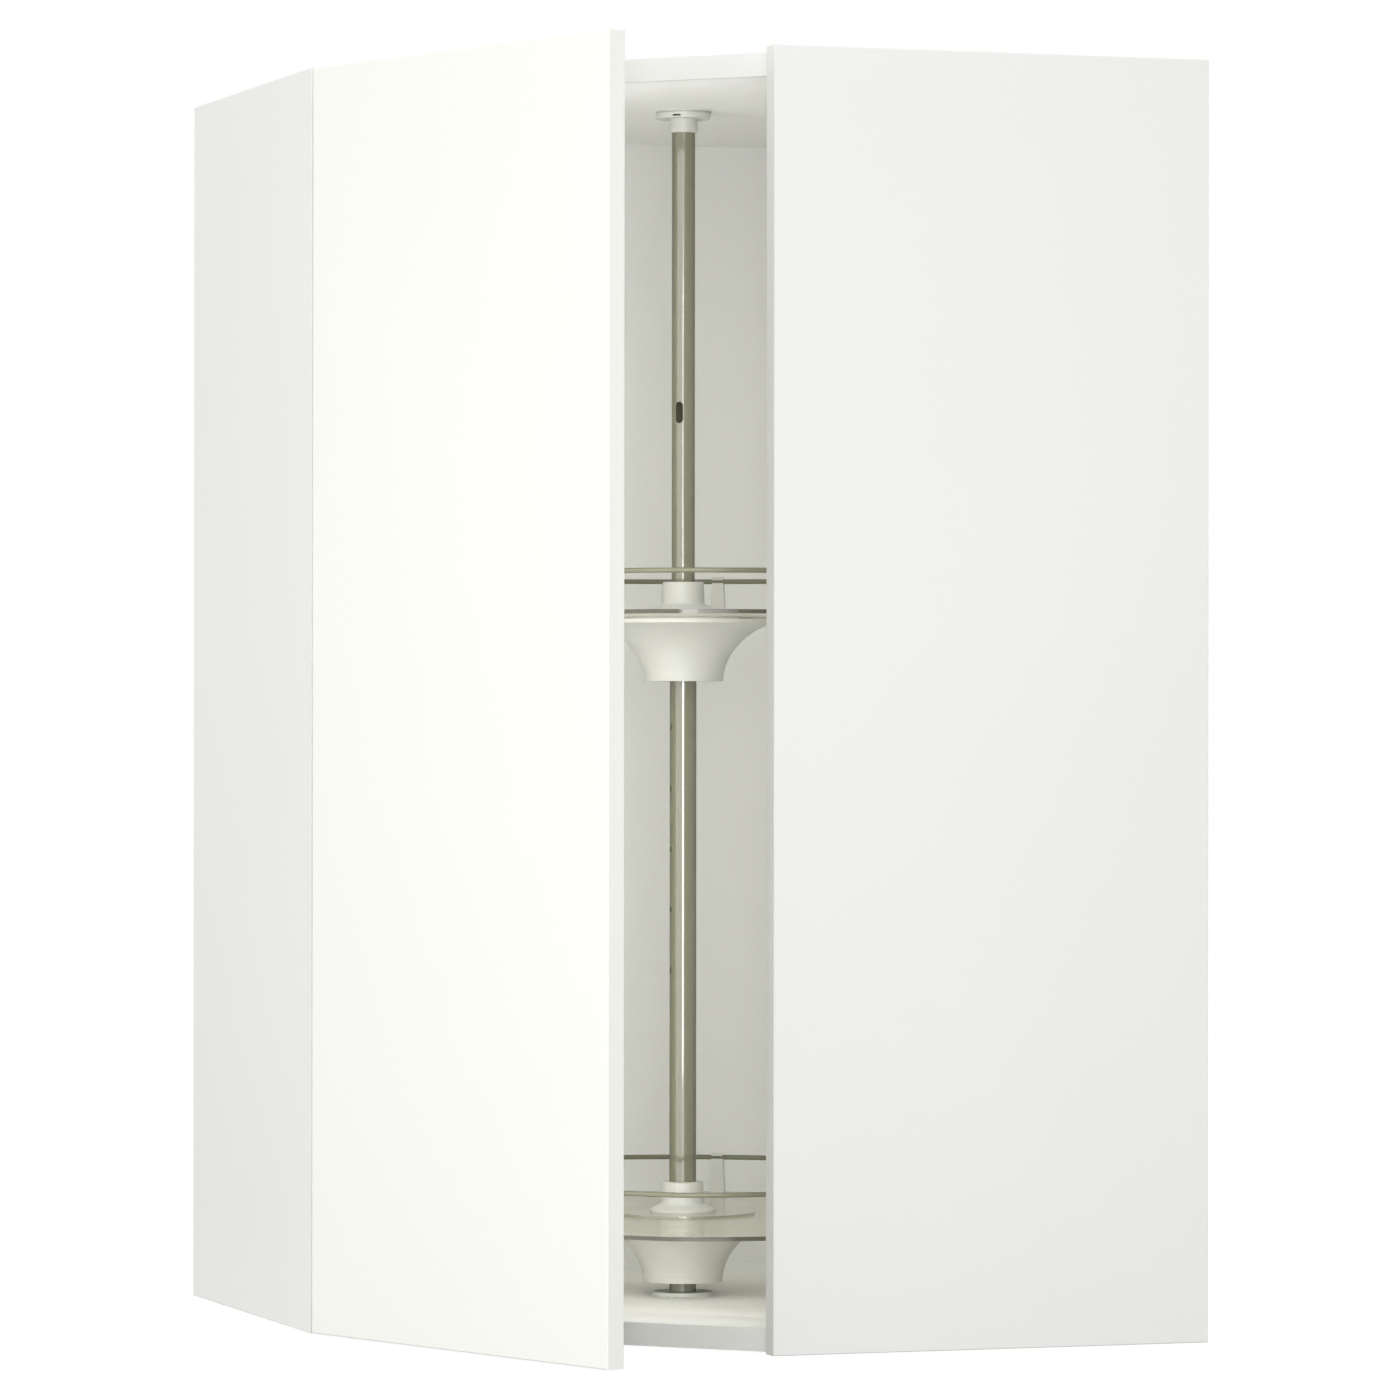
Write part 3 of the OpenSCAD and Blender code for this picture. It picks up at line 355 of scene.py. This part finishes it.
def clear_plastic(name, tint, edge_painted_shade, shadow_tint):
    material, tree = new_material(name)
    place = add(tree, "ShaderNodeTexCoord").outputs["Object"]
    haze = add(
        tree,
        "ShaderNodeTexNoise",
        values={"Scale": 1 / (HAZE_MM * MM), "Detail": 1.0},
        links={"Vector": place},
    )
    rough = add(
        tree,
        "ShaderNodeMapRange",
        values={"To Min": HAZE_SMOOTH, "To Max": HAZE_ROUGH},
        links={"Value": haze.outputs["Fac"]},
    )
    # Painted shade: the outer edge gets the dark edge colour.
    tone = add(
        tree,
        "ShaderNodeMix",
        {"data_type": "RGBA"},
        values={MIX_A: linear(edge_painted_shade), MIX_B: linear(tint)},
        links={"Factor": sheet_share(tree, place)},
    )
    glassy = add(
        tree,
        "ShaderNodeBsdfPrincipled",
        values={"IOR": 1.57, "Transmission Weight": 0.72},
        links={"Base Color": tone.outputs[MIX_RESULT], "Roughness": rough.outputs[0]},
    )
    passing = add(tree, "ShaderNodeBsdfTransparent", values={"Color": linear(shadow_tint)})
    path = add(tree, "ShaderNodeLightPath")
    unseen = add(
        tree,
        "ShaderNodeMath",
        {"operation": "MAXIMUM"},
        links={0: path.outputs["Is Shadow Ray"], 1: path.outputs["Is Diffuse Ray"]},
    )
    mix = add(
        tree,
        "ShaderNodeMixShader",
        links={0: unseen.outputs[0], 1: glassy.outputs[0], 2: passing.outputs[0]},
    )
    add(tree, "ShaderNodeOutputMaterial", links={"Surface": mix.outputs[0]})
    return material


# The third colour is painted shade on the shelves' outer edge.
styrene = clear_plastic("clear styrene", "#D8D5C2", "#5E5C51", "#FAFAF6")
print("clear plastic:", styrene.name)

# %% [markdown]
# ## Plated steel
# Screws and cam fittings are zinc plated, hinges nickel plated. Both are bare metal to the eye, so
# metallic is 1 and the colour is the metal's own. Pressing and turning leave fine scratches, here
# about six millimetres long and under one millimetre apart. They could be a bump or an
# anisotropic gloss, but on fittings this small neither would show much, so they only vary how
# rough the metal is.

# %% Make the plated metals
SCRATCH_MM = 6.25
SCRATCH_STRETCH = 9.0
GLOSS_SWING = 0.07


def plated(name, hex_value, roughness):
    material, tree = new_material(name)
    place = add(tree, "ShaderNodeTexCoord").outputs["Object"]
    stretch = add(
        tree,
        "ShaderNodeMapping",
        values={"Scale": (1.0, 1.0, SCRATCH_STRETCH)},
        links={"Vector": place},
    )
    scratches = add(
        tree,
        "ShaderNodeTexNoise",
        values={"Scale": 1 / (SCRATCH_MM * MM), "Detail": 3.0},
        links={"Vector": stretch.outputs[0]},
    )
    rough = add(
        tree,
        "ShaderNodeMapRange",
        values={"To Min": roughness - GLOSS_SWING, "To Max": roughness + GLOSS_SWING},
        links={"Value": scratches.outputs["Fac"]},
    )
    skin = add(
        tree,
        "ShaderNodeBsdfPrincipled",
        values={"Base Color": linear(hex_value), "Metallic": 1.0},
        links={"Roughness": rough.outputs[0]},
    )
    add(tree, "ShaderNodeOutputMaterial", links={"Surface": skin.outputs[0]})
    return material


zinc = plated("zinc plate", "#C9CBCD", 0.34)
nickel = plated("nickel plate", "#CFCDC6", 0.26)
print("plated:", zinc.name, nickel.name)

# %% [markdown]
# ## Bare wood
# The batten in the rear corner and the dowels are bare wood, and both take the colours of spruce.
# Noise alone would look like stone. Wood grows in rings, so its grain is a wave pattern, drawn
# long along the upright batten and bent a little, as no tree grows quite round. The rings are
# 3.5 mm apart, and a slight bump makes them catch the light.

# %% Make the bare wood
RING_MM = 3.49
WAVE_TURN = 20
ALONG_GRAIN = 0.05


def bare_wood(name, early, late):
    material, tree = new_material(name)
    place = add(tree, "ShaderNodeTexCoord").outputs["Object"]
    along = add(
        tree,
        "ShaderNodeMapping",
        values={"Scale": (1.0, 1.0, ALONG_GRAIN)},
        links={"Vector": place},
    )
    # The Wave node turns through 20 radians in one unit, and a ring is one full turn.
    rings = add(
        tree,
        "ShaderNodeTexWave",
        {"wave_type": "RINGS", "rings_direction": "Z"},
        values={
            "Scale": math.tau / (WAVE_TURN * RING_MM * MM),
            "Distortion": 3.0,
            "Detail": 2.0,
        },
        links={"Vector": along.outputs[0]},
    )
    tone = add(
        tree,
        "ShaderNodeMix",
        {"data_type": "RGBA"},
        values={MIX_A: linear(late), MIX_B: linear(early)},
        links={"Factor": rings.outputs["Fac"]},
    )
    bump = add(
        tree,
        "ShaderNodeBump",
        values={"Strength": 0.3, "Distance": 0.1 * MM},
        links={"Height": rings.outputs["Fac"]},
    )
    skin = add(
        tree,
        "ShaderNodeBsdfPrincipled",
        values={"Roughness": 0.7, "IOR": 1.5},
        links={"Base Color": tone.outputs[MIX_RESULT], "Normal": bump.outputs[0]},
    )
    add(tree, "ShaderNodeOutputMaterial", links={"Surface": skin.outputs[0]})
    return material


spruce = bare_wood("bare spruce", "#E3C89B", "#CBA871")
print("wood:", spruce.name)

# %% [markdown]
# ## Give each CAD node its surface
# The record already says which finish each node has, so no list of pieces is typed again. The
# table below turns each of those finish names into the material made above, and the loop puts it
# into the node's material slot. The meshes stay as CAD made them. The rails share the pole's
# paint in the record, but get their own coat, which is less glossy.

# %% Dress the CAD nodes
FINISHES = {
    "white_board": melamine,
    "door_board": door_foil,
    "back_board": hardboard,
    "raw_wood": spruce,
    "zinc_steel": zinc,
    "nickel_steel": nickel,
    "pole_paint": powder,
    "white_plastic": nylon,
    "clear_shelf": styrene,
    "stop_rubber": stop_rubber,
}
RAILS = ("rail_low", "rail_high")
for part in frame["record"]["subparts"]:
    finish = rail_powder if part["node"] in RAILS else FINISHES[part["material_slot"]]
    for slot in nodes[part["node"]].material_slots:
        slot.material = finish
print("dressed:", len(nodes))

# %% [markdown]
# ## Camera
# The camera stands 5.4 m from the pole at half the cabinet's height and looks almost level, so
# the cabinet's upright edges stay upright. A Track To constraint could aim it at a point, but
# three angles also set the tilt of the horizon. The photograph was cut from a larger frame, so
# the lens is shifted by a fourteenth of the picture.

# %% Work out where the camera looks
CAMERA_PLACE = Vector((5.42939, -2.09741, 0.49440))
TURN, TILT, ROLL = math.radians(71.584), math.radians(0.153), math.radians(0.051)
ahead = Vector(
    (-math.sin(TURN) * math.cos(TILT), math.cos(TURN) * math.cos(TILT), math.sin(TILT))
)
side = Vector((math.cos(TURN), math.sin(TURN), 0))
up = side.cross(ahead)
right = math.cos(ROLL) * side + math.sin(ROLL) * up
top = right.cross(ahead)
facing = Matrix((right, top, -ahead)).transposed().to_4x4()
print("camera looks along:", [round(c, 3) for c in ahead])

# %% Set the camera
FOCAL_PX, FRAME_PX, SHIFT_PX = 6554.53, 1400, 100
SENSOR_MM = 36.0
FAR_END = 60
lens = bpy.data.cameras.new("camera")
lens.sensor_width = SENSOR_MM
lens.lens = FOCAL_PX / FRAME_PX * SENSOR_MM
lens.shift_x = SHIFT_PX / FRAME_PX
lens.clip_end = FAR_END
camera = bpy.data.objects.new("camera", lens)
camera.matrix_world = Matrix.Translation(CAMERA_PLACE) @ facing
bpy.context.collection.objects.link(camera)
bpy.context.scene.camera = camera
print("lens mm:", round(lens.lens, 2))

# %% [markdown]
# ## Floor
# The floor is plain and pale, one square made by a bmesh grid. Enough lamps would turn it white,
# but they would bleach the cabinet as well. Instead most of it glows white to the camera, and in
# glass and gloss, like the studio behind it. The rest stays matt paint, which keeps the soft
# shadow under the cabinet.

# %% Lay the floor
FLOOR_HALF = 12.0
sheet = bmesh.new()
bmesh.ops.create_grid(sheet, x_segments=1, y_segments=1, size=FLOOR_HALF)
floor_mesh = bpy.data.meshes.new("floor")
sheet.to_mesh(floor_mesh)
sheet.free()
floor = bpy.data.objects.new("floor", floor_mesh)
bpy.context.collection.objects.link(floor)
print("floor:", 2 * FLOOR_HALF, "m square")

# %% Paint the floor
GLOW_STRENGTH, GLOW_SHARE = 1.2, 0.8
WHITE = (1.0, 1.0, 1.0, 1.0)
paint, tree = new_material("pale studio floor")
matt = add(tree, "ShaderNodeBsdfDiffuse", values={"Color": linear("#9C9C9A")})
glow = add(tree, "ShaderNodeEmission", values={"Color": WHITE, "Strength": GLOW_STRENGTH})
path = add(tree, "ShaderNodeLightPath")
seen = add(
    tree,
    "ShaderNodeMath",
    {"operation": "MAXIMUM"},
    links={0: path.outputs["Is Camera Ray"], 1: path.outputs["Is Glossy Ray"]},
)
seen = add(
    tree,
    "ShaderNodeMath",
    {"operation": "MAXIMUM"},
    links={0: seen.outputs[0], 1: path.outputs["Is Transmission Ray"]},
)
share = add(
    tree,
    "ShaderNodeMath",
    {"operation": "MULTIPLY"},
    values={1: GLOW_SHARE},
    links={0: seen.outputs[0]},
)
mix = add(
    tree,
    "ShaderNodeMixShader",
    links={0: share.outputs[0], 1: matt.outputs[0], 2: glow.outputs[0]},
)
add(tree, "ShaderNodeOutputMaterial", links={"Surface": mix.outputs[0]})
floor_mesh.materials.append(paint)
print("floor paint:", paint.name)

# %% [markdown]
# ## Room
# The cabinet stands in a plain white room. Walls could be built, but the world does the same
# with one colour and never hides a view. It lights from all sides at a strength just under 1,
# at which a colour renders about as it is written. The eye, glass and gloss see it at a full 1,
# which is white.

# %% Set the room
ROOM_STRENGTH, WHITE_STRENGTH = 0.95, 1.0
scene = bpy.context.scene
scene.view_settings.view_transform = "Standard"
world = bpy.data.worlds.new("studio")
scene.world = world
world.use_nodes = True
tree = world.node_tree
tree.nodes.clear()
room = add(tree, "ShaderNodeBackground", values={"Color": WHITE, "Strength": ROOM_STRENGTH})
white = add(tree, "ShaderNodeBackground", values={"Color": WHITE, "Strength": WHITE_STRENGTH})
path = add(tree, "ShaderNodeLightPath")
seen = add(
    tree,
    "ShaderNodeMath",
    {"operation": "MAXIMUM"},
    links={0: path.outputs["Is Camera Ray"], 1: path.outputs["Is Glossy Ray"]},
)
seen = add(
    tree,
    "ShaderNodeMath",
    {"operation": "MAXIMUM"},
    links={0: seen.outputs[0], 1: path.outputs["Is Transmission Ray"]},
)
mix = add(
    tree,
    "ShaderNodeMixShader",
    links={0: seen.outputs[0], 1: room.outputs[0], 2: white.outputs[0]},
)
add(tree, "ShaderNodeOutputWorld", links={"Surface": mix.outputs[0]})
print("room:", world.name)

# %% [markdown]
# ## Lamps
# In an even room a white cabinet would have no shape. Six soft area lamps give its faces their
# different shades. Point lamps or a sun would draw hard shadows instead of soft ones. Sizes and
# places are in metres, power in watts, and the camera doesn't see the lamps themselves.

# %% A soft lamp


def soft_lamp(name, place, target, size, watts):
    light = bpy.data.lights.new(name, "AREA")
    light.shape = "RECTANGLE"
    light.size, light.size_y = size
    light.energy = watts
    lamp = bpy.data.objects.new(name, light)
    lamp.location = place
    aim = Vector(target) - Vector(place)
    lamp.rotation_euler = aim.to_track_quat("-Z", "Y").to_euler()
    bpy.context.collection.objects.link(lamp)
    lamp.visible_camera = False
    print("lamp:", name, watts, "W")


# %% [markdown]
# The tall lamp is the gloss line on the pole. It is as high as the line, and far enough away to
# keep it narrow. The left lamps whiten the door and lift its lower half. The near right lamp lifts
# the front edge of the right side. Two more stand in the door's opening: the inner lamp stands
# for the light that a white room throws into a deep cabinet, and the low lamp reaches the bottom
# board under the lower shelf.

# %% Set the lamps
soft_lamp("tall lamp", (3.16, -1.31, 0.548), (0.326, -0.326, 0.548), size=(0.6, 1.02), watts=14)
soft_lamp("left lamp", (1.2, -4.2, 0.9), (0.5, -0.6, 0.5), size=(1.6, 1.6), watts=20)
soft_lamp("near left lamp", (1.8, -2.2, 0.38), (0.5, -0.6, 0.38), size=(0.8, 0.8), watts=5.0)
soft_lamp("near right lamp", (1.9, -0.6, 0.76), (0.656, -0.2, 0.6), size=(0.5, 0.5), watts=1.5)
soft_lamp("inner lamp", (0.499, -0.499, 0.508), (0.0, 0.0, 0.508), size=(0.36, 0.95), watts=1.42)
soft_lamp("low lamp", (0.44, -0.44, 0.052), (0.2, -0.2, 0.052), size=(0.34, 0.05), watts=0.025)

# %% [markdown]
# ## Finish

# %% Finish
print("finished")
